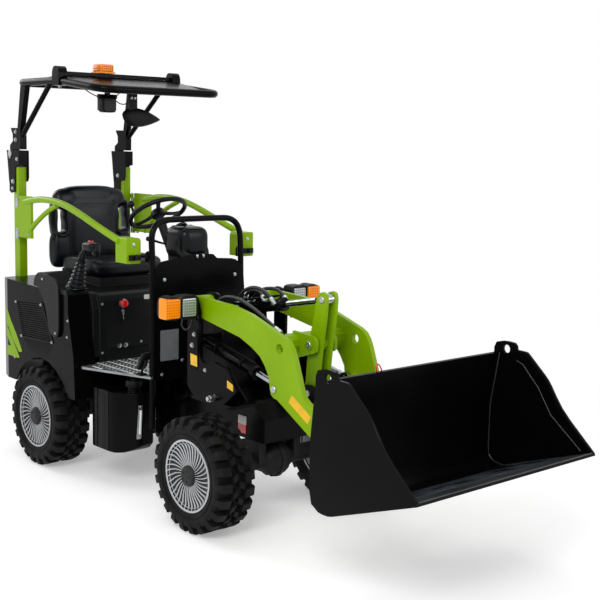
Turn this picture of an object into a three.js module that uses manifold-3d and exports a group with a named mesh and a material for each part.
// Articulated mini loader: an open operator's platform on the rear frame, a lifting arm with a
// Z-bar linkage and a bucket on the front frame.
// Millimetres. +X runs forward, +Y to the machine's left, +Z up; the tyres stand on z = 0.
// Lengths along X are first given from the rear axle, and the root group carries the whole machine
// back by ORIGIN_X, so that the origin lies under the middle of its bounding box.

import * as THREE from 'three';
import { mergeVertices } from 'three/addons/utils/BufferGeometryUtils.js';
import Module from 'manifold-3d';

const wasm = await Module();
wasm.setup();

// ---------------------------------------------------------------- driving dimensions

const GAP = 0.3; // between touching meshes
const SIDES = [['right', -1], ['left', 1]];

const WHEELBASE = 1443;
const TYRE_RADIUS = 276; // over the lugs
const AXLE_Z = TYRE_RADIUS;
const TRACK_HALF = 425.5; // centre line to the middle of a tyre
const BEAD_RADIUS = 152;
const FLANGE_RADIUS = 172;
const LUGS = 22; // shoulder lugs on each side of a tyre
const HUB_REACH = 39.7; // middle of a wheel to the end of its axle

const STEER_X = 721; // articulation pin, halfway along the wheelbase

const BODY_HALF = 480; // half width of the rear bodywork
const BODY_WALL = 8;
const BODY_REAR = -500;
const BODY_BOTTOM = 428;
const ARCH_RADIUS = 328;
const CHASSIS_TOP = 470;
const CHASSIS_BOTTOM = 375;
const FLOOR_Z = 613;
const FLOOR_THICK = 13;
const LOUVRES = 17; // slots of each side grille

const POST_X = [-476, -416];
const POST_Y = [332, 380];
const POST_TOP = 1643;
const FOLD = { x: -505, z: 1720 };
const BRACKET_REAR = -548; // rearmost metal of the machine
const ROOF_Z = 2123; // canopy rails
const RAIL_RADIUS = 21;

const LIFT = { x: 1120, z: 1022 }; // boom pivot on the towers
const LIFT_CYL_REAR = { x: 1130, z: 845 };
const LIFT_CYL_Y = 205;
const LIFT_CYL_FRONT = { x: 1737, z: 705 };
const TILT_CYL_REAR = { x: 1130, z: 976 };
const TILT_CYL_FRONT = { x: 1816, z: 1110 };
const BELL = { x: 1771, z: 897 }; // bellcrank pivot on the boom
const LINK_REAR = { x: 1755, z: 665 };
const LINK_FRONT = { x: 2257.5, z: 519 };
const HITCH = { x: 2205, z: 428 }; // hitch pivot at the boom's tips
const EDGE = { x: 2915, z: 521 }; // cutting edge of the bucket
const BUCKET_HALF = 560;

const GUARD_PIVOT = { x: -414, y: 393 };
const HINGE_Z = [1262, 1440]; // middle of the guard's own hinge barrels
const WHEEL_HUB = { x: 441, z: 1422 }; // steering wheel
const WHEEL_TILT = THREE.MathUtils.degToRad(33);

const ORIGIN_X = (BRACKET_REAR + EDGE.x) / 2; // rear axle to the middle of the machine

// ---------------------------------------------------------------- solids

const vec = (x, y, z) => new THREE.Vector3(x, y, z);

/** A closed three.js geometry as a manifold solid. */
function solid(geometry) {
  geometry.deleteAttribute('normal');
  geometry.deleteAttribute('uv');
  const merged = mergeVertices(geometry, 1e-3);
  const corners = merged.index.array;
  const faces = [];
  for (let i = 0; i < corners.length; i += 3) {
    const [a, b, c] = corners.slice(i, i + 3);
    if (a !== b && b !== c && c !== a) faces.push(a, b, c); // a revolve's poles have flat faces
  }
  const mesh = new wasm.Mesh({
    numProp: 3,
    vertProperties: new Float32Array(merged.attributes.position.array),
    triVerts: new Uint32Array(faces),
  });
  return new wasm.Manifold(mesh);
}

/** A manifold solid as a three.js geometry. */
function geometryOf(body) {
  const mesh = body.getMesh();
  const geometry = new THREE.BufferGeometry();
  geometry.setAttribute('position', new THREE.BufferAttribute(mesh.vertProperties, 3));
  geometry.setIndex(new THREE.BufferAttribute(mesh.triVerts, 1));
  return geometry;
}

const join = (...bodies) => bodies.flat(Infinity).reduce((sum, body) => sum.add(body));
const cut = (body, ...tools) => tools.flat(Infinity).reduce((rest, tool) => rest.subtract(tool), body);
const common = (...bodies) => bodies.reduce((rest, body) => rest.intersect(body));
const ordered = (a, b) => [Math.min(a, b), Math.max(a, b)];

/** Box between two limits along each axis. */
function block([x0, x1], [y0, y1], [z0, z1]) {
  const box = new THREE.BoxGeometry(Math.abs(x1 - x0), Math.abs(y1 - y0), Math.abs(z1 - z0));
  return solid(box.translate((x0 + x1) / 2, (y0 + y1) / 2, (z0 + z1) / 2));
}

/** Closed outline through [a, b, reach] corners, each rounded off over its own reach. */
function softened(corners) {
  const points = corners.map(([a, b]) => new THREE.Vector2(a, b));
  const shape = new THREE.Shape();
  corners.forEach(([, , reach = 0], i) => {
    const corner = points[i];
    const [start, end] = [points.at(i - 1), points[(i + 1) % points.length]].map((next) => {
      const away = next.clone().sub(corner);
      return corner.clone().add(away.setLength(Math.min(reach, away.length() / 2)));
    });
    if (i === 0) shape.moveTo(start.x, start.y);
    else shape.lineTo(start.x, start.y);
    if (reach > 0) shape.quadraticCurveTo(corner.x, corner.y, end.x, end.y);
  });
  return shape;
}

/** Corners of a rounded rectangle. */
const rounded = ([a0, a1], [b0, b1], reach) => [
  [a0, b0, reach], [a1, b0, reach], [a1, b1, reach], [a0, b1, reach],
];

function prism(corners, depth) {
  return new THREE.ExtrudeGeometry(softened(corners), { depth, bevelEnabled: false, curveSegments: 2 });
}

/** Outline of [x, z, reach] corners, extruded between two y. */
function plateY(corners, y0, y1) {
  const geometry = prism(corners, Math.abs(y1 - y0));
  return solid(geometry.rotateX(Math.PI / 2).translate(0, Math.max(y0, y1), 0));
}

/** Outline of [y, z, reach] corners, extruded between two x. */
function plateX(corners, x0, x1) {
  const turn = new THREE.Matrix4().makeBasis(vec(0, 1, 0), vec(0, 0, 1), vec(1, 0, 0));
  return solid(prism(corners, x1 - x0).applyMatrix4(turn).translate(x0, 0, 0));
}

/** Outline of [x, y, reach] corners, extruded between two z. */
function plateZ(corners, z0, z1) {
  return solid(prism(corners, z1 - z0).translate(0, 0, z0));
}

/** Round bar from point p to point q. */
function bar(p, q, radius, sides = 10) {
  const along = q.clone().sub(p);
  const geometry = new THREE.CylinderGeometry(radius, radius, along.length(), sides);
  const turn = new THREE.Quaternion().setFromUnitVectors(vec(0, 1, 0), along.clone().normalize());
  const middle = p.clone().add(q).multiplyScalar(0.5);
  return solid(geometry.applyQuaternion(turn).translate(middle.x, middle.y, middle.z));
}

/** Round bar across the machine, between two y. */
const cross = ({ x, z }, y0, y1, radius, sides = 10) => bar(vec(x, y0, z), vec(x, y1, z), radius, sides);

/** Path through given stations, one ring of an extrusion at each. */
class StationPath extends THREE.Curve {
  constructor(stations) {
    super();
    this.stations = stations;
  }

  getPoint(t) {
    const place = t * (this.stations.length - 1);
    const i = Math.min(Math.floor(place), this.stations.length - 2);
    return this.stations[i].clone().lerp(this.stations[i + 1], place - i);
  }

  getPointAt(t) {
    return this.getPoint(t);
  }

  getTangentAt(t) {
    const i = Math.round(t * (this.stations.length - 1));
    const before = this.stations[Math.max(i - 1, 0)];
    const after = this.stations[Math.min(i + 1, this.stations.length - 1)];
    return after.clone().sub(before).normalize();
  }
}

/** Corner points joined by straight runs with round bends of the given reach. */
function bent(points, reach, steps = 3) {
  const stations = [points[0]];
  for (let i = 1; i < points.length - 1; i += 1) {
    const [start, end] = [points[i - 1], points[i + 1]].map((next) => {
      const away = next.clone().sub(points[i]);
      return points[i].clone().add(away.setLength(Math.min(reach, away.length() / 2.1)));
    });
    stations.push(...new THREE.QuadraticBezierCurve3(start, points[i], end).getPoints(steps));
  }
  stations.push(points[points.length - 1]);
  return stations;
}

/** Round tube (solid) along stations. */
function tube(stations, radius, sides = 8) {
  const ring = new THREE.Shape();
  ring.absarc(0, 0, radius, 0, 2 * Math.PI);
  const geometry = new THREE.ExtrudeGeometry(ring, {
    steps: stations.length - 1,
    curveSegments: sides / 2, // three.js gives a full arc twice as many
    extrudePath: new StationPath(stations),
  });
  return solid(geometry);
}

/** Revolved body about the Y axis through (x, z); the profile lists [y, radius]. */
function turned(profile, { x, z }, segments) {
  const points = profile.map(([y, radius]) => new THREE.Vector2(radius, y));
  return solid(new THREE.LatheGeometry(points, segments).translate(x, 0, z));
}

/** Outline round two discs, each {x, z, r}, in the side view. */
function strap(a, b, steps = 4) {
  const heading = Math.atan2(b.z - a.z, b.x - a.x);
  const lean = Math.acos((a.r - b.r) / Math.hypot(b.x - a.x, b.z - a.z));
  const arc = (disc, from, to) => Array.from({ length: steps + 1 }, (_, i) => {
    const angle = from + ((to - from) * i) / steps;
    return [disc.x + disc.r * Math.cos(angle), disc.z + disc.r * Math.sin(angle)];
  });
  return [
    ...arc(a, heading + lean, heading + 2 * Math.PI - lean),
    ...arc(b, heading - lean, heading + lean),
  ];
}

// ---------------------------------------------------------------- materials

function paint(color, roughness, metalness = 0) {
  return () => new THREE.MeshStandardMaterial({ color, roughness, metalness });
}

const GREEN = paint(0x93c01f, 0.35);
const BLACK = paint(0x1b1d1f, 0.45);
const CAST = paint(0x26282a, 0.6);
const RUBBER = paint(0x18191a, 0.85);
const SILVER = paint(0xb9bcc0, 0.35, 0.6);
const STEEL = paint(0xc4c8cc, 0.25, 0.9);
const TREAD_PLATE = paint(0xb4b8ba, 0.4, 0.8);
const PLASTIC = paint(0x202224, 0.6);
const SEAT_COVER = paint(0x161718, 0.7);
const ORANGE = paint(0xf08a12, 0.2);
const CLEAR = paint(0xdfe5e8, 0.1);

// ---------------------------------------------------------------- scene graph

const machine = new THREE.Group();
machine.name = 'mini_loader';
machine.position.set(-ORIGIN_X, 0, 0);
machine.userData.pivot = vec(0, 0, 0);

/** Group that turns or slides about a pivot given in machine coordinates. */
function carrier(parent, name, x, y, z) {
  const group = new THREE.Group();
  group.name = name;
  group.userData.pivot = vec(x, y, z);
  group.position.copy(group.userData.pivot).sub(parent.userData.pivot);
  parent.add(group);
  return group;
}

/** Mesh of a solid drawn in machine coordinates. */
function part(group, name, body, material) {
  const geometry = geometryOf(body.simplify(0.03));
  const { x, y, z } = group.userData.pivot;
  geometry.translate(-x, -y, -z);
  const mesh = new THREE.Mesh(geometry, material());
  mesh.name = name;
  group.add(mesh);
}

// ---------------------------------------------------------------- wheels

const TYRE_PROFILE = [ // [y, radius] between the lugs
  [-88, BEAD_RADIUS], [-92, 178], [-104.5, 214], [-104, TYRE_RADIUS - 34], [104, TYRE_RADIUS - 34],
  [104.5, 214], [92, 178], [88, BEAD_RADIUS], [-88, BEAD_RADIUS],
];

const LUG_RIM = [ // [y, radius] round the lugs of the outer shoulder
  [30, 218], [30, TYRE_RADIUS + 14], [93, TYRE_RADIUS + 14], [104, TYRE_RADIUS - 34], [104, 218], [30, 218],
];

const RIM_PROFILE = [ // [y, radius], the outer face towards +y
  [HUB_REACH + GAP, 0], [HUB_REACH + GAP, 60], [72, 146], [-88, 146], [-94, FLANGE_RADIUS],
  [-89.5, BEAD_RADIUS - GAP], [89.5, BEAD_RADIUS - GAP], [94, FLANGE_RADIUS], [84, 148], [84, 58],
  [100, 46], [103, 0],
];

/** Toothed disc, one tooth to a lug, its tips flat at the tyre's radius. */
function lugDisc(hub) {
  const pitch = (2 * Math.PI) / LUGS;
  const foot = 0.31 * pitch; // half the lug's angle at its foot and at its tip
  const tip = 0.27 * pitch;
  const outline = [];
  for (let i = 0; i < LUGS; i += 1) {
    const middle = i * pitch - Math.PI / 2;
    const tread = TYRE_RADIUS / Math.cos(tip);
    const steps = [[-foot, 214], [-tip, tread], [tip, tread], [foot, 214]];
    steps.forEach(([turn, radius]) => {
      outline.push([hub.x + radius * Math.cos(middle + turn), hub.z + radius * Math.sin(middle + turn)]);
    });
  }
  return plateY(outline, 20, 120);
}

function wheel(group, name, x, side) {
  const hub = { x, z: AXLE_Z };
  const place = [0, side * TRACK_HALF, 0];
  const outer = common(lugDisc(hub), turned(LUG_RIM, hub, LUGS));
  const tyre = join(turned(TYRE_PROFILE, hub, LUGS), outer, outer.mirror([0, 1, 0]));
  const rim = turned(RIM_PROFILE, hub, LUGS);
  part(group, `${name}_tyre`, tyre.translate(place), RUBBER);
  part(group, `${name}_wheel`, (side > 0 ? rim : rim.mirror([0, 1, 0])).translate(place), SILVER);
}

/** Axle beam with its differential, wheel flanges and two seats under the frame. */
function axle(group, name, x, seatY, seatTop) {
  const end = TRACK_HALF + HUB_REACH;
  const half = [ // [y, radius] from the middle outwards
    [12, 96], [12, 88], [42, 84], [64, 64], [108, 44], [end - 20, 40], [end - 20, 58], [end, 58], [end, 0],
  ];
  const profile = [...half.map(([y, radius]) => [-y, radius]).reverse(), ...half];
  const seats = SIDES.map(([, side]) => (
    block([x - 55, x + 55], seatY.map((y) => side * y), [AXLE_Z, seatTop - GAP])
  ));
  part(group, name, join(turned(profile, { x, z: AXLE_Z }, 12), seats), CAST);
}

// ---------------------------------------------------------------- rear frame

function rearChassis(group) {
  const fork = (z0, z1) => join(
    bar(vec(STEER_X, 0, z0), vec(STEER_X, 0, z1), 62),
    block([560, STEER_X], [-62, 62], [z0, z1]),
  );
  const body = join(
    block([-430, 640], [-200, 200], [CHASSIS_BOTTOM + 20, CHASSIS_TOP]),
    block([-430, 560], [-200, 200], [CHASSIS_BOTTOM, CHASSIS_BOTTOM + 20]),
    block([540, 640], [-80, 80], [225, CHASSIS_BOTTOM + 40]),
    fork(445, CHASSIS_TOP),
    fork(225, 250),
    bar(vec(STEER_X, 0, 225), vec(STEER_X, 0, CHASSIS_TOP + 12), 22),
    block([-430, -330], [-300, 300], [330, CHASSIS_TOP]),
    SIDES.map(([, side]) => [
      block([-482, -410], [side * 200, side * 384], [CHASSIS_BOTTOM + 20, BODY_BOTTOM - 4]),
      block([430, 530], [side * 100, side * 150], [CHASSIS_TOP, FLOOR_Z - FLOOR_THICK - GAP]),
    ]),
  );
  part(group, 'rear_chassis', body, BLACK);
}

/** Top of the hood, falling a little towards its front. */
const deckAt = (x) => 985 + ((300 - x) * 25) / 740;

function bodywork(group) {
  const plan = (half, rear, front, corner) => [
    [front, -half], [front, half], [rear, half, corner], [rear, -half, corner],
  ];
  const sideView = (inset) => {
    const rear = BODY_REAR + inset;
    const bottom = BODY_BOTTOM - (inset ? 10 : 0);
    return [
      [rear, bottom], [367 - inset, bottom], [353 - inset, 662], [301 - inset, 888],
      [300 - inset, 985 - inset], [rear, 1012 - inset, 62],
    ];
  };
  const shell = (half, rear, front, corner, inset) => common(
    plateZ(plan(half, rear, front, corner), 400, 1050),
    plateY(sideView(inset), -500, 500),
  );
  const arch = (radius, y0, y1) => cross({ x: 0, z: AXLE_Z }, y0, y1, radius, 24);
  const cavity = cut(
    shell(BODY_HALF - BODY_WALL, BODY_REAR + BODY_WALL, 362, 108, BODY_WALL),
    SIDES.map(([, side]) => arch(ARCH_RADIUS + BODY_WALL, side * 300, side * 490)),
  );
  const grille = [[-281, 894], [31, 920], [148, 702], [-216, 689]]; // corners [x, z]
  const edgeAt = ([from, to], t) => from.map((value, k) => value + (to[k] - value) * t);
  const slots = Array.from({ length: LOUVRES }, (_, i) => {
    const t = (i + 1) / (LOUVRES + 1);
    const [rearX, rearZ] = edgeAt([grille[0], grille[3]], t);
    const [frontX, frontZ] = edgeAt([grille[1], grille[2]], t);
    return [
      [rearX + 18, rearZ], [frontX - 16, frontZ - 2], [frontX - 16, frontZ + 4], [rearX + 18, rearZ + 6],
    ];
  });
  const rearSlots = Array.from({ length: 8 }, (_, i) => (
    block([BODY_REAR - 5, BODY_REAR + 20], [-260, 260], [560 + 42 * i, 574 + 42 * i])
  ));
  const panels = SIDES.map(([, side]) => (
    plateY(grille.map((corner) => [...corner, 14]), side * (BODY_HALF - 4), side * (BODY_HALF + 4))
  ));
  const body = cut(
    join(shell(BODY_HALF, BODY_REAR, 370, 116, 0), panels),
    cavity,
    SIDES.map(([, side]) => [
      arch(ARCH_RADIUS, side * 308, side * 490),
      block(
        [POST_X[0] - 2, POST_X[1] + 2],
        [side * (POST_Y[0] - 2), side * (POST_Y[1] + 2)],
        [900, 1050],
      ),
      slots.map((slot) => plateY(slot, side * 465, side * 490)),
    ]),
    block([-148, 400], [-349, 349], [560, 1100]),
    block([340, 400], [-200 - GAP, 200 + GAP], [400, CHASSIS_TOP + GAP]),
    rearSlots,
  );
  part(group, 'bodywork', body, BLACK);
}

function powerUnit(group) {
  part(group, 'power_unit', block([-440, -155], [-280, 280], [CHASSIS_TOP + GAP, 900]), CAST);
}

const SEAT_BASE_FRONT = 337;

function seatBase(group) {
  const bottom = FLOOR_Z - 30;
  const front = SEAT_BASE_FRONT;
  const box = plateY([[-146, bottom], [front, bottom], [front, 985, 40], [-146, 1000]], -305, 305);
  const shoulder = plateY([
    [-146, 640], [front - 3, 640], [front - 3, 900], [300, 985], [-146, 985],
  ], -347, 347);
  const kick = block([front - 12, front + 8], [-245, 245], [FLOOR_Z + 12, 676]);
  const slide = block([-146, 130], [-170, 170], [990, 1045]);
  part(group, 'seat_base', cut(join(box, shoulder, slide), kick), PLASTIC);
}

function seat(group) {
  const cushion = common(
    plateY([
      [-206, 1045 + GAP], [172, 1045 + GAP, 30], [172, 1158, 80], [60, 1156, 60], [-206, 1124],
    ], -242, 242),
    plateZ([[-206, -226], [172, -242, 110], [172, 242, 110], [-206, 226]], 1040, 1170),
  );
  part(group, 'seat_cushion', cushion, SEAT_COVER);
  const profile = [
    [-228, 1060], [-212, 1190, 60], [-222, 1440, 160], [-262, 1540, 40], [-330, 1540, 50], [-318, 1400, 80],
    [-300, 1060],
  ];
  const face = [
    [-205, 1060, 30], [205, 1060, 30], [262, 1200, 70], [256, 1440, 90], [190, 1545, 120], [-190, 1545, 120],
    [-256, 1440, 90], [-262, 1200, 70],
  ];
  const slots = SIDES.map(([, side]) => plateX([
    [side * 188, 1290, 18], [side * 216, 1290, 18], [side * 222, 1404, 18], [side * 192, 1404, 18],
  ], -400, -150));
  const padding = common(plateY(profile, -262, 262), plateX(face, -400, -150));
  part(group, 'seat_backrest', cut(padding, slots), SEAT_COVER);
  const bracket = [
    [-300, deckAt(-300) + GAP], [-148, deckAt(-148) + GAP], [-148, 1040], [-226, 1045],
    [-226, 1060 - GAP], [-300, 1060 - GAP],
  ];
  part(group, 'seat_frame', plateY(bracket, -170, 170), CAST);
}

function consoles(group) {
  const rim = BODY_HALF + 5;
  const top = [
    [-60, deckAt(-60) + 6], [-60, 1040, 30], [-12, 1085, 30], [78, 1085, 30], [100, 1016, 16],
    [296, 1012, 8], [299, deckAt(299) + 1], [100, deckAt(100) + 1],
  ];
  const flap = [
    [0, 1060, 20], [68, 1085, 40], [219, 1062, 40], [232, 990, 60], [228, 770, 40], [195, 738, 30],
    [128, 766, 24], [98, 880, 60], [69, 942, 20], [16, 990, 20],
  ];
  SIDES.forEach(([name, side]) => {
    const body = join(
      plateY(top, side * 352, side * (rim + 1)),
      plateY(flap, side * rim, side * (rim + 12)),
    );
    part(group, `${name}_console`, body, PLASTIC);
  });
  const ridges = [[46, 3], [48, 12], [38, 26], [43, 38], [33, 54], [38, 66], [28, 84], [32, 98], [22, 122]];
  const lean = 0.41;
  const boot = new THREE.LatheGeometry(
    [[0, 0], ...ridges, [15, 165], [0, 165]].map(([r, z]) => new THREE.Vector2(r, z)), 8,
  ).rotateX(Math.PI / 2).rotateY(lean).translate(243, -405, 1016);
  const seatLine = plateY([[100, 980], [298, 980], [298, 1012.3], [110, 1016.6], [100, 1030]], -480, -340);
  const grip = tube(bent([vec(300, -405, 1150), vec(336, -405, 1238), vec(420, -405, 1266)], 60), 19);
  const thumb = bar(vec(392, -405, 1266), vec(400, -405, 1288), 17, 10);
  part(group, 'joystick', cut(join(solid(boot), grip, thumb), seatLine), PLASTIC);
}

const HOOP = { x: 812, y: 286, radius: 16, panelX: 828 };

function floorPlate(group) {
  const rear = SEAT_BASE_FRONT + GAP;
  const half = [[rear, 347], [374, 347], [374, 445], [395, 450], [HOOP.panelX - 2, 306]]; // [x, y]
  const outline = [...half.map(([x, y]) => [x, -y]), ...half.reverse()];
  const plate = plateZ(outline, FLOOR_Z - FLOOR_THICK, FLOOR_Z);
  const legHoles = SIDES.map(([, side]) => (
    bar(vec(HOOP.x, side * HOOP.y, 500), vec(HOOP.x, side * HOOP.y, 700), HOOP.radius + GAP, 8)
  ));
  part(group, 'floor_plate', cut(plate, legHoles), TREAD_PLATE);
}

function guardHoop(group) {
  const { x, y, radius } = HOOP;
  const path = bent([
    vec(x, -y, 335), vec(x, -y, 1180), vec(x - 16, -y, 1413), vec(x - 22, 0, 1415), vec(x - 16, y, 1413),
    vec(x, y, 1180), vec(x, y, 335),
  ], 110);
  const latches = SIDES.map(([, side]) => (
    plateY([[764, 1200], [x, 1200], [x, 1258], [780, 1258, 14], [764, 1244]], side * y, side * (y + 14))
  ));
  part(group, 'guard_hoop', join(tube(path, radius), latches), BLACK);
}

function frontPanel(group) {
  const outline = [
    [-292, 590, 12], [292, 590, 12], [298, 1010], [285, 1150, 40], [235, 1197, 30], [108, 1206],
    [82, 1229, 8], [-40, 1233], [-262, 1203, 20], [-290, 1150, 30],
  ];
  part(group, 'front_panel', plateX(outline, HOOP.panelX + GAP, HOOP.panelX + 6), BLACK);
}

function dash(group) {
  const cowl = common(
    plateY([
      [800, 1000], [804, 1240, 30], [716, 1366, 30], [644, 1378, 30], [590, 1280, 60], [640, 1000],
    ], -88, 88),
    plateZ([[560, -40, 20], [700, -60], [815, -88, 30], [815, 88, 30], [700, 60], [560, 40, 20]], 990, 1400),
  );
  const column = block([650, 790], [-52, 52], [FLOOR_Z + GAP, 1010]);
  const axis = vec(-Math.sin(WHEEL_TILT), 0, Math.cos(WHEEL_TILT));
  const hub = vec(WHEEL_HUB.x, 0, WHEEL_HUB.z);
  const shaft = bar(
    hub.clone().addScaledVector(axis, -18 - GAP),
    hub.clone().addScaledVector(axis, -280),
    24,
  );
  part(group, 'dash_column', join(cowl, column, shaft), PLASTIC);
}

function steeringWheel(group) {
  const reach = 154;
  const ring = new THREE.TorusGeometry(reach, 13, 5, 20);
  const hub = new THREE.CylinderGeometry(34, 40, 36, 12).rotateX(Math.PI / 2);
  const knobStem = new THREE.CylinderGeometry(8, 8, 40, 8).rotateX(Math.PI / 2).translate(0, -reach, 28);
  const knob = new THREE.SphereGeometry(20, 6, 4).translate(0, -reach, 56);
  const spokes = [90, 210, 330].map((degrees) => new THREE.BoxGeometry(reach - 9, 26, 10)
    .translate(reach / 2 + 3, 0, 0).rotateZ(THREE.MathUtils.degToRad(degrees)));
  const tilt = new THREE.Matrix4().makeRotationY(-WHEEL_TILT).setPosition(WHEEL_HUB.x, 0, WHEEL_HUB.z);
  const pieces = [ring, hub, knobStem, knob, ...spokes].map((piece) => solid(piece.applyMatrix4(tilt)));
  part(group, 'steering_wheel', join(pieces), PLASTIC);
}

function sideTanks(group) {
  SIDES.forEach(([name, side]) => {
    const plan = [[431, 420, 20], [640, 420, 40], [742, 340, 40], [756, 240], [431, 240]];
    const tank = common(
      plateZ(plan.map(([x, y, ...rest]) => [x, side * y, ...rest]), 190, 512),
      plateY([[400, 512], [770, 512], [770, 240, 60], [690, 190, 40], [400, 190]], side * 200, side * 450),
    );
    const hanger = block([440, 600], [side * (200 + GAP), side * 260], [440, 468]);
    const neck = bar(vec(690, side * 320, 505), vec(690, side * 320, 558), 34, 12);
    const label = side < 0 ? 'hydraulic_tank' : 'left_side_box';
    part(group, label, join(tank, hanger, side < 0 ? neck : []), BLACK);
  });
}

/** Hinge barrel of a side guard with the leaf that ties it to the metal at the given x. */
function hingeKnuckle(side, z0, z1, x) {
  const { x: px, y: py } = GUARD_PIVOT;
  const leaf = block(ordered(x, px), [side * (POST_Y[1] - 1), side * py], [z0, z1]);
  const outerLeaf = block(ordered(x, px), [side * py, side * (py + 9)], [z0, z1]);
  return join(bar(vec(px, side * py, z0), vec(px, side * py, z1), 9, 10), x < px ? leaf : outerLeaf);
}

function posts(group) {
  const rear = BRACKET_REAR;
  const headTop = FOLD.z + 20;
  const outerCheek = [
    [rear, headTop], [-398, headTop], [-398, 1665], [-446, 1640], [-450, 1500], [-505, 1492], [-524, 1560],
    [-542, 1700],
  ];
  const innerCheek = [
    [rear, headTop], [-392, headTop], [-392, 1585], [-404, 1562], [-450, 1555], [-450, 1500], [-505, 1492],
    [-524, 1560], [-542, 1700],
  ];
  SIDES.forEach(([name, side]) => {
    const upright = block(POST_X, POST_Y.map((y) => side * y), [BODY_BOTTOM - 4 + GAP, POST_TOP]);
    const knuckles = HINGE_Z.map((z) => hingeKnuckle(side, z + 13 + GAP, z + 39, POST_X[0] + 36));
    part(group, `${name}_post`, join(upright, knuckles), GREEN);
    const outer = side * (POST_Y[1] + GAP);
    const inner = side * (POST_Y[0] - GAP);
    const span = [inner - side * 6, outer + side * 6];
    const bracket = cut(
      join(
        plateY(outerCheek, outer, outer + side * 6),
        plateY(innerCheek, inner, inner - side * 6),
        block([-520, POST_X[0] - GAP], span, [1500, 1625]),
        block([-404, -398], span, [POST_TOP + 12, headTop]),
      ),
      cross(FOLD, side * 300, side * 400, 14.6, 12),
    );
    part(group, `${name}_fold_bracket`, bracket, BLACK);
  });
}

// ---------------------------------------------------------------- folding canopy

const RIDGE = { x: 50, z: ROOF_Z + 34 }; // crest of the roof sheet, under its cross bar

function canopy(group) {
  const top = ROOF_Z;
  const railY = 372;
  const rails = (radius) => SIDES.map(([, s]) => tube(bent([
    vec(-430, -5 * s, top), vec(-430, railY * s, top), vec(RIDGE.x, railY * s, top + 3),
    vec(488, (railY + 13) * s, top - 50), vec(488, -5 * s, top - 50),
  ], 100), radius));
  const uprights = SIDES.map(([, s]) => [
    plateY([
      [-398, FOLD.z + 26], [-398, 1868], [-516, 1868], [-492, 1832], [-490, 1792],
      [FOLD.x - 21, FOLD.z + 50], [FOLD.x - 21, FOLD.z - 4], [FOLD.x, FOLD.z - 22],
      [FOLD.x + 21, FOLD.z - 8], [FOLD.x + 21, FOLD.z + 26],
    ], s * 336, s * 376),
    plateY([[-440, 1850], [-404, 1850], [-334, top - 4], [-392, top - 4]], s * 342, s * 374),
    tube([vec(-404, s * 358, 1825), vec(-225, s * 364, 1975), vec(-46, s * 370, top)], 15),
    cross(FOLD, s * 326, s * 386, 14, 12),
  ]);
  const clampBox = (grow) => SIDES.map(([, s]) => plateY([
    [12 - grow, 2098], [84 + grow, 2098], [84 + grow, 2176, 30], [66, 2202, 16], [30, 2202, 16],
    [12 - grow, 2176, 30],
  ], s * (345 - grow), s * (400 + grow)));
  const ridgeBar = block([RIDGE.x - 14, RIDGE.x + 14], [-350, 350], [RIDGE.z + GAP, RIDGE.z + 18]);
  part(group, 'canopy_frame', join(rails(RAIL_RADIUS), uprights, clampBox(0), ridgeBar), BLACK);
  const eaves = { rear: { x: -425, z: top }, front: { x: 482, z: top - 47 } };
  const sheetThick = 4;
  const profile = [
    [eaves.rear.x, eaves.rear.z - sheetThick], [RIDGE.x, RIDGE.z - sheetThick],
    [eaves.front.x, eaves.front.z - sheetThick], [eaves.front.x, eaves.front.z], [RIDGE.x, RIDGE.z],
    [eaves.rear.x, eaves.rear.z],
  ];
  const plan = rounded([eaves.rear.x, eaves.front.x], [-366, 366], 70);
  const sheet = common(plateY(profile, -366, 366), plateZ(plan, top - 80, top + 60));
  part(group, 'canopy_roof', cut(sheet, rails(RAIL_RADIUS + GAP), clampBox(GAP)), BLACK);

  const barTop = RIDGE.z + 18;
  const beacon = common(
    block([5, 95], [-150, -50], [barTop + GAP, barTop + 52]),
    plateX(rounded([-150, -50], [barTop, barTop + 52], 12), 0, 100),
  );
  part(group, 'beacon', beacon, ORANGE);
  const fall = (RIDGE.z - eaves.front.z) / (eaves.front.x - RIDGE.x);
  const underSheet = (x) => RIDGE.z - sheetThick - GAP - (x - RIDGE.x) * fall;
  const lamp = join(
    plateX(rounded([-123, -32], [1962, 2052], 18), 22, 84),
    block([42, 64], [-88, -64], [2040, underSheet(64)]),
  );
  part(group, 'work_lamp', lamp, PLASTIC);
  const leaf = [
    [10, 1938, 50], [60, 1898, 60], [190, 1894, 70], [282, 1932, 12], [205, 1992, 70], [70, 2002, 60],
  ];
  const hanger = block([52, 60], [62, 118], [1960, underSheet(60)]);
  part(group, 'mirror', join(plateX(leaf, 44, 62), hanger), PLASTIC);
}

// ---------------------------------------------------------------- side guards

function sideGuard(group, name, side) {
  const y = side * 402;
  const upper = tube(bent([
    vec(-300, y, 1450), vec(-109, y, 1476), vec(110, y, 1464), vec(299, y, 1419), vec(499, y, 1360),
    vec(690, y, 1305),
  ], 100, 2), 18);
  const lower = tube(bent([
    vec(-290, y, 1252), vec(-196, y, 1330), vec(-80, y, 1400), vec(60, y, 1452),
  ], 70, 2), 14);
  const hingePlate = block([-396, -224], [y - 8, y + 8], [1246, 1484]);
  const knuckles = HINGE_Z.map((z) => hingeKnuckle(side, z - 26, z + 13, -390));
  const face = [
    [side * 410, 1195, 6], [side * 410, 1326, 6], [side * 325, 1326, 24], [side * 325, 1195],
  ];
  part(group, `${name}_guard`, join(upper, lower, hingePlate, plateX(face, 661, 763), knuckles), GREEN);
}

// ---------------------------------------------------------------- front frame

const TOWER_Y = { inner: [134, 148], outer: [270, 285] }; // plates of each tower

/** Corner given from the boom's pivot. */
const fromLift = (dx, dz, reach = 0) => [LIFT.x + dx, LIFT.z + dz, reach];

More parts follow.
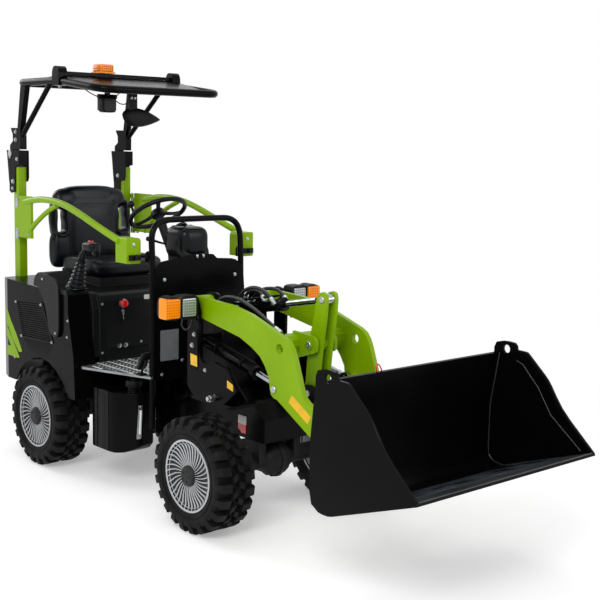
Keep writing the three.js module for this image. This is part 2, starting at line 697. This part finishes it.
function frontChassis(group) {
  const nose = WHEELBASE + 97;
  const tongue = join(
    bar(vec(STEER_X, 0, 250 + GAP), vec(STEER_X, 0, 445 - GAP), 52),
    block([STEER_X, 1010], [-52, 52], [250 + GAP, 445 - GAP]),
    plateY([
      [900, 300], [1330, 386], [nose, 386], [nose, 500], [1430, 575], [1010, 575], [900, 443],
    ], -136, 136),
  );
  const outerPlate = [
    fromLift(-5, 54, 14), fromLift(-5, -400), [1189, 560], [1391, 560, 40], [1512, 657, 20], [1434, 749, 20],
    [1333, 771, 20], [1237, 745, 30], fromLift(88, -232, 20), fromLift(88, -22), fromLift(65, 43, 10),
    fromLift(30, 54, 14),
  ];
  const innerPlate = [
    [1060, 570], [1420, 570], [1330, 640], fromLift(100, -222, 40), fromLift(70, 54, 30),
    fromLift(-35, 54, 30), fromLift(-60, -22),
  ];
  const boreY = LIFT_CYL_Y - 11 - GAP;
  const towers = SIDES.map(([, side]) => [
    plateY(outerPlate, ...TOWER_Y.outer.map((y) => side * y)),
    plateY(innerPlate, ...TOWER_Y.inner.map((y) => side * y)),
    block([1150, 1480], [side * TOWER_Y.inner[0], side * TOWER_Y.outer[1]], [562, 577]),
    block([1200, 1215], [side * 140, side * 275], [570, 700]),
    cross(LIFT, side * 138, side * 293, 20, 8),
    cross(LIFT_CYL_REAR, side * 138, side * boreY, 24, 8),
    cross(LIFT_CYL_REAR, side * (boreY + 22 + 2 * GAP), side * 272, 24, 8),
    plateY(strap({ ...LIFT_CYL_REAR, r: 30 }, { x: 1150, z: 845, r: 30 }), side * 240, side * 272),
  ]);
  const crossPlate = block([1180, 1194], [-140, 140], [560, 920]);
  const tiltEars = SIDES.map(([, side]) => join(
    plateY([
      [1194, 860], [1194, 930], [1166, 1002, 20], [1100, 1002, 20], [1100, 940],
    ], side * 37, side * 52),
    cross(TILT_CYL_REAR, side * (17 + GAP), side * 58, 24, 8),
  ));
  const axleSeats = SIDES.map(([, side]) => block([1390, 1496], [side * 100, side * 135], [385, 420]));
  const pinBore = bar(vec(STEER_X, 0, 200), vec(STEER_X, 0, 500), 24.5);
  part(group, 'front_chassis', cut(join(tongue, towers, crossPlate, tiltEars, axleSeats), pinBore), BLACK);
}

function headlamp(group, name, side) {
  const [z0, z1] = [969, 1085];
  const face = (a, b, inset, reach, x0, x1) => (
    plateX(rounded(ordered(side * a, side * b), [z0 + inset, z1 - inset], reach), x0, x1)
  );
  const housing = cut(
    join(face(300, 402, 0, 26, 1150, 1222), face(398, 490, 0, 34, 1150, 1222)),
    face(311, 393, 13, 16, 1205, 1230),
    face(407, 481, 10, 24, 1205, 1230),
  );
  const arm = block([1150, 1170], [side * (TOWER_Y.outer[1] + GAP), side * 302], [1000, 1060]);
  part(group, `${name}_headlamp`, join(housing, arm), PLASTIC);
  const lens = face(311 + GAP, 393 - GAP, 13 + GAP, 16, 1205 + GAP, 1224);
  part(group, `${name}_headlamp_lens`, lens, CLEAR);
  const turn = face(407 + GAP, 481 - GAP, 10 + GAP, 24, 1205 + GAP, 1226);
  part(group, `${name}_turn_lens`, turn, ORANGE);
}

// ---------------------------------------------------------------- lifting arm

const BOOM_Y = [225, 250];

const ARM_OUTLINE = [ // [x, z, reach]
  fromLift(-42, 42, 36), fromLift(-42, -42, 36), [1484, 909], [1640, 848, 70], [1700, 755],
  [1712, 668, 40], [1760, 660], [1988, 534], [2165, 384], [HITCH.x + 48, HITCH.z - 46, 44],
  [HITCH.x + 44, HITCH.z + 34, 26], [2003, 668], [1938, 696, 30], [1871, 877], [1838, 940, 40],
  [1560, 1027], [1420, 1052], fromLift(40, 42),
];

function boom(group) {
  const arms = SIDES.map(([, side]) => join(
    plateY(ARM_OUTLINE, side * BOOM_Y[0], side * BOOM_Y[1]),
    cross(LIFT, side * (TOWER_Y.inner[1] + GAP), side * (TOWER_Y.outer[0] - GAP), 42, 12),
    cross(HITCH, side * (214 + GAP), side * 262, 44),
    cross(LIFT_CYL_FRONT, side * (LIFT_CYL_Y + 11 + GAP), side * 226, 24),
  ));
  const tubeAt = { x: 1655, z: 885 };
  const ear = [
    [tubeAt.x - 5, tubeAt.z + 62], [BELL.x + 8, BELL.z + 43, 4], [BELL.x + 44, BELL.z + 34, 30],
    [BELL.x + 44, BELL.z - 36, 30], [BELL.x + 6, BELL.z - 43, 10], [tubeAt.x + 20, tubeAt.z - 66],
  ];
  const ears = SIDES.map(([, side]) => join(
    plateY(ear, side * 50, side * 68),
    cross(BELL, side * 66, side * 74, 24, 8),
  ));
  const bores = [
    SIDES.map(([, side]) => [
      cross(LIFT, side * 130, side * 300, 22, 8),
      cross(BELL, side * 200, side * 300, 24),
      cross(HITCH, side * 190, side * 300, 20, 8),
    ]),
    cross(BELL, -80, 80, 17, 8),
  ];
  part(group, 'boom', cut(join(arms, cross(tubeAt, -230, 230, 52, 12), ears), bores), GREEN);
}

function bellcrank(group) {
  const [top, foot] = [TILT_CYL_FRONT, LINK_REAR];
  const outline = [
    [top.x - 28, top.z + 36, 30], [top.x + 32, top.z + 36, 30], [top.x + 28, top.z - 70, 60],
    [BELL.x + 48, BELL.z - 10, 60], [foot.x + 42, foot.z + 5, 10], [foot.x + 40, foot.z - 42, 38],
    [foot.x - 40, foot.z - 42, 38], [foot.x - 42, foot.z + 5, 10], [BELL.x - 46, BELL.z - 60, 50],
    [BELL.x - 34, BELL.z + 10, 40],
  ];
  const plates = SIDES.map(([, side]) => join(
    plateY(outline, side * 22, side * 38),
    cross(top, side * (17 + GAP), side * 23, 24, 10),
    cross(foot, side * 37, side * (44 - GAP), 26, 10),
  ));
  const hub = cross(BELL, -50 + GAP, 50 - GAP, 34);
  const pin = cross(BELL, -76, 76, 15, 8);
  const lowerPin = cross(foot, -60, 60, 15, 8);
  const web = block([BELL.x - 30, BELL.x - 10], [-30, 30], [BELL.z - 150, BELL.z + 10]);
  part(group, 'bellcrank', join(plates, hub, pin, lowerPin, web), GREEN);
}

function tiltLink(group) {
  const cheek = strap({ ...LINK_REAR, r: 42 }, { ...LINK_FRONT, r: 28 });
  const cheeks = SIDES.map(([, side]) => plateY(cheek, side * 44, side * 58));
  const web = plateY([[1890, 604], [2095, 545], [2103, 573], [1898, 632]], -50, 50);
  const bores = [cross(LINK_REAR, -80, 80, 17, 8), cross(LINK_FRONT, -80, 80, 17, 8)];
  part(group, 'tilt_link', cut(join(cheeks, web), bores), BLACK);
}

function hitch(group) {
  const pinPlate = [[2232, 535], [2243, 494, 10], [2258, 490, 10], [2284, 500], [2300, 640], [2266, 640]];
  const ears = SIDES.map(([, side]) => [
    plateY(strap({ ...HITCH, r: 46 }, { x: 2268, z: 462, r: 40 }), side * 196, side * 214),
    plateY(pinPlate, side * 20, side * 36),
    cross(HITCH, side * 196, side * 270, 18, 8),
    cross(LINK_FRONT, side * 20, side * 36, 26),
  ]);
  const frame = [
    block([2266, 2300], [-230, 230], [630, 700]),
    block([2266, 2300], [-230, 230], [404, 450]),
    SIDES.map(([, side]) => block([2266, 2300], [side * 170, side * 230], [404, 700])),
  ];
  part(group, 'hitch', join(ears, frame), BLACK);
}

const BUCKET_SKIN = 12;
const BUCKET_BACK = 2332; // rear face, down to the rounded heel
const BUCKET_HEEL = { x: 2440, z: 355 };

function bucket(group) {
  const slope = Math.hypot(EDGE.x - BUCKET_HEEL.x, EDGE.z - BUCKET_HEEL.z);
  const lean = { // along the floor
    x: ((EDGE.x - BUCKET_HEEL.x) * BUCKET_SKIN) / slope,
    z: ((EDGE.z - BUCKET_HEEL.z) * BUCKET_SKIN) / slope,
  };
  const lip = [EDGE.x - lean.z, EDGE.z + lean.x];
  const back = BUCKET_BACK;
  const heel = BUCKET_HEEL;
  const shell = [
    [back + 53, 892], [back + BUCKET_SKIN, 640], [back + BUCKET_SKIN, heel.z + BUCKET_SKIN + 14, 64],
    [heel.x - lean.z, heel.z + lean.x, 30], lip, [EDGE.x, EDGE.z], [heel.x, heel.z, 30],
    [back, heel.z + 14, 76], [back, 642], [back + 40, 894],
  ];
  const cheek = [
    [back - 2, 650], [back + 22, 880], [back + 22, 945, 50], [2478, 950, 44], [2484, 916], [2538, 914, 10],
    [2660, 806, 30], [2735, 690, 60], lip, [EDGE.x, EDGE.z], [heel.x, heel.z, 30],
    [back - 2, heel.z + 14, 76],
  ];
  const eye = { x: back + 93, z: 912 };
  const sides = SIDES.map(([, side]) => cut(
    plateY(cheek, side * (BUCKET_HALF - 12), side * BUCKET_HALF),
    cross(eye, side * (BUCKET_HALF - 30), side * (BUCKET_HALF + 10), 20),
  ));
  const hook = [
    [2300 + GAP, 425], [back + 4, 425], [back + 4, 650], [2366, 800], [2300, 800, 20], [2240, 735, 20],
    [2240, 704], [2300 + GAP, 704],
  ];
  const hooks = SIDES.map(([, side]) => plateY(hook, side * 240, side * 256));
  const crossBar = block([2262, 2300], [-256, 256], [700 + GAP, 730]);
  const sheet = plateY(shell, 2 - BUCKET_HALF, BUCKET_HALF - 2);
  part(group, 'bucket', join(sheet, sides, hooks, crossBar), BLACK);
}

// ---------------------------------------------------------------- cylinders

/** Points along the line from one pin to the other, and its length. */
function heading(from, to) {
  const length = Math.hypot(to.x - from.x, to.z - from.z);
  const unit = { x: (to.x - from.x) / length, z: (to.z - from.z) / length };
  const at = (distance, y) => vec(from.x + unit.x * distance, y, from.z + unit.z * distance);
  return { length, at };
}

const CYLINDERS = { // barrel radius, rod radius, barrel length, rod's inner end, eye radius and half width
  lift: {
    from: LIFT_CYL_REAR, to: LIFT_CYL_FRONT, bore: 28, rod: 15, barrel: 448, inner: 120, eye: 27, half: 11,
  },
  tilt: {
    from: TILT_CYL_REAR, to: TILT_CYL_FRONT, bore: 30, rod: 16, barrel: 390, inner: 140, eye: 26, half: 17,
  },
};

function barrel(group, name, { from, to, bore, rod: rodRadius, barrel: reach, eye, half }, y) {
  const { at } = heading(from, to);
  const body = join(
    bar(at(eye, y), at(reach - 30, y), bore),
    bar(at(reach - 32, y), at(reach, y), bore + 5),
    cross(from, y - half, y + half, eye),
    bar(at(5, y), at(eye + 10, y), half, 8),
  );
  const well = bar(at(60, y), at(reach + 5, y), rodRadius + 1, 10);
  const hole = cross(from, y - 60, y + 60, 17, 8);
  part(group, name, cut(body, well, hole), BLACK);
}

function rod(group, name, { from, to, rod: radius, inner, eye, half }, y) {
  const { at, length } = heading(from, to);
  const neck = at(length - 62, y);
  const body = join(
    bar(at(inner, y), at(length - 60, y), radius, 10),
    cross(to, y - half, y + half, eye),
    plateY(strap({ ...to, r: radius }, { x: neck.x, z: neck.z, r: radius - 1 }, 3), y - half, y + half),
  );
  part(group, name, cut(body, cross(to, y - 60, y + 60, 16, 8)), STEEL);
}

// ---------------------------------------------------------------- assembly

rearChassis(machine);
axle(machine, 'rear_axle', 0, [120, 200], CHASSIS_BOTTOM);
bodywork(machine);
powerUnit(machine);
seatBase(machine);
seat(machine);
consoles(machine);
floorPlate(machine);
guardHoop(machine);
frontPanel(machine);
dash(machine);
sideTanks(machine);
posts(machine);

const fold = carrier(machine, 'canopy_pivot', FOLD.x, 0, FOLD.z);
canopy(fold);

const helm = carrier(machine, 'steering_wheel_pivot', WHEEL_HUB.x, 0, WHEEL_HUB.z);
steeringWheel(helm);

SIDES.forEach(([name, side]) => {
  const gate = carrier(machine, `${name}_guard_pivot`, GUARD_PIVOT.x, side * GUARD_PIVOT.y, 1350);
  sideGuard(gate, name, side);
});

const front = carrier(machine, 'articulation', STEER_X, 0, 350);
frontChassis(front);
axle(front, 'front_axle', WHEELBASE, [90, 134], 385);

[['rear', machine, 0], ['front', front, WHEELBASE]].forEach(([end, frame, x]) => {
  SIDES.forEach(([name, side]) => {
    const pivot = carrier(frame, `${end}_${name}_wheel_pivot`, x, side * TRACK_HALF, AXLE_Z);
    wheel(pivot, `${end}_${name}`, x, side);
  });
});

SIDES.forEach(([name, side]) => headlamp(front, name, side));

const arm = carrier(front, 'boom_pivot', LIFT.x, 0, LIFT.z);
boom(arm);

const crank = carrier(arm, 'bellcrank_pivot', BELL.x, 0, BELL.z);
bellcrank(crank);
const link = carrier(crank, 'tilt_link_pivot', LINK_REAR.x, 0, LINK_REAR.z);
tiltLink(link);

const tool = carrier(arm, 'hitch_pivot', HITCH.x, 0, HITCH.z);
hitch(tool);
bucket(tool);

[
  ['right_lift', CYLINDERS.lift, -LIFT_CYL_Y],
  ['left_lift', CYLINDERS.lift, LIFT_CYL_Y],
  ['tilt', CYLINDERS.tilt, 0],
].forEach(([name, sizes, y]) => {
  const trunnion = carrier(front, `${name}_cylinder_pivot`, sizes.from.x, y, sizes.from.z);
  barrel(trunnion, `${name}_barrel`, sizes, y);
  const slide = carrier(trunnion, `${name}_rod_slide`, sizes.to.x, y, sizes.to.z);
  rod(slide, `${name}_rod`, sizes, y);
});

export default machine;
